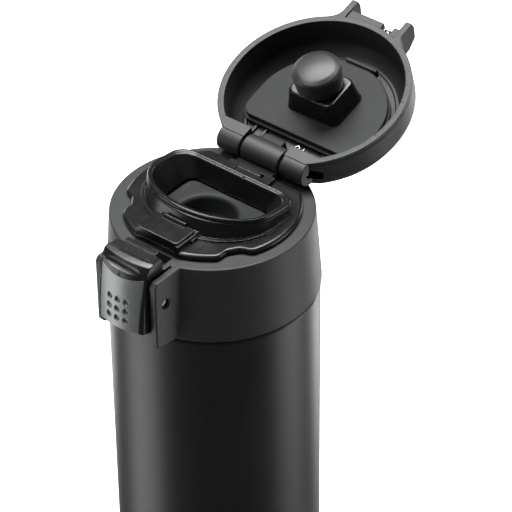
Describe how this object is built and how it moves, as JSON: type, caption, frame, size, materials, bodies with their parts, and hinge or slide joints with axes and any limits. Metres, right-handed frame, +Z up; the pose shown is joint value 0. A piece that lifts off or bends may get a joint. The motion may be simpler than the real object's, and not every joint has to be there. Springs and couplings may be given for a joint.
{
  "type": "vacuum flask",
  "caption": "Slim double-wall steel vacuum flask with a screw-on cap, D-shaped drinking spout, hinged spring lid with plug, and a front push latch.",
  "frame": {"origin": "centre of the round base, on the surface that the flask stands on", "axes": "+Z up along the body, -Y towards the push latch, +Y towards the lid hinge, +X along the hinge pin to the right of someone facing the latch"},
  "size_m": [0.0668, 0.1333, 0.235],
  "materials": {
    "black_paint": "satin powder coat",
    "brushed_steel": "brushed",
    "rubber_pad": "matt",
    "foil": "bright",
    "getter_metal": "sintered",
    "glass_solder": "glossy",
    "silicone": "satin",
    "matt_plastic": "fine spark texture",
    "dark_plastic": "fine texture",
    "gloss_plastic": "polished",
    "grey_plastic": "satin",
    "spring_steel": "bright wire",
    "gunmetal": "satin metallic paint"
  },
  "bodies": {
    "bottle": {"outer_shell": "black_paint", "inner_flask": "brushed_steel", "bottom_plate": "brushed_steel", "base_pad": "rubber_pad", "radiation_foil": "foil", "getter_pellet": "getter_metal", "vacuum_plug": "glass_solder"},
    "seal": {"neck_gasket": "silicone"},
    "cap": {"collar": "matt_plastic", "cap_core": "gloss_plastic", "spout": "gloss_plastic", "valve_seat": "grey_plastic", "spout_seal": "silicone", "hinge_pin": "spring_steel", "lid_spring": "spring_steel", "latch_pin": "spring_steel", "latch_spring": "spring_steel"},
    "lid": {"lid_shell": "matt_plastic", "lid_liner": "dark_plastic", "seal_plate": "grey_plastic", "plug_pedestal": "gloss_plastic", "plug_cap": "silicone", "spring_tab": "grey_plastic", "catch_wire": "spring_steel"},
    "latch": {"latch_body": "gloss_plastic", "latch_face": "gunmetal"}
  },
  "joints": [
    {"name": "cap_lift", "type": "slide", "parent": "bottle", "child": "seal", "axis": [0, 0, 1], "range_m": [0, 0.008]},
    {"name": "cap_turn", "type": "hinge", "parent": "seal", "child": "cap", "pos_m": [0, 0, 0.207], "axis": [0, 0, 1], "range_deg": [0, 720]},
    {"name": "lid_hinge", "type": "hinge", "parent": "cap", "child": "lid", "pos_m": [0, 0.0262, 0.2118], "axis": [1, 0, 0], "range_deg": [0, 163], "stiffness_Nm_per_rad": 0.012, "springref_deg": -34.38},
    {"name": "latch_press", "type": "hinge", "parent": "cap", "child": "latch", "pos_m": [0, -0.036, 0.1976], "axis": [1, 0, 0], "range_deg": [0, 8], "stiffness_Nm_per_rad": 0.02, "springref_deg": -8.59}
  ],
  "couplings": [
    {"joint": "cap_lift", "follows": "cap_turn", "m_per_rad": 0.00063662}
  ]
}
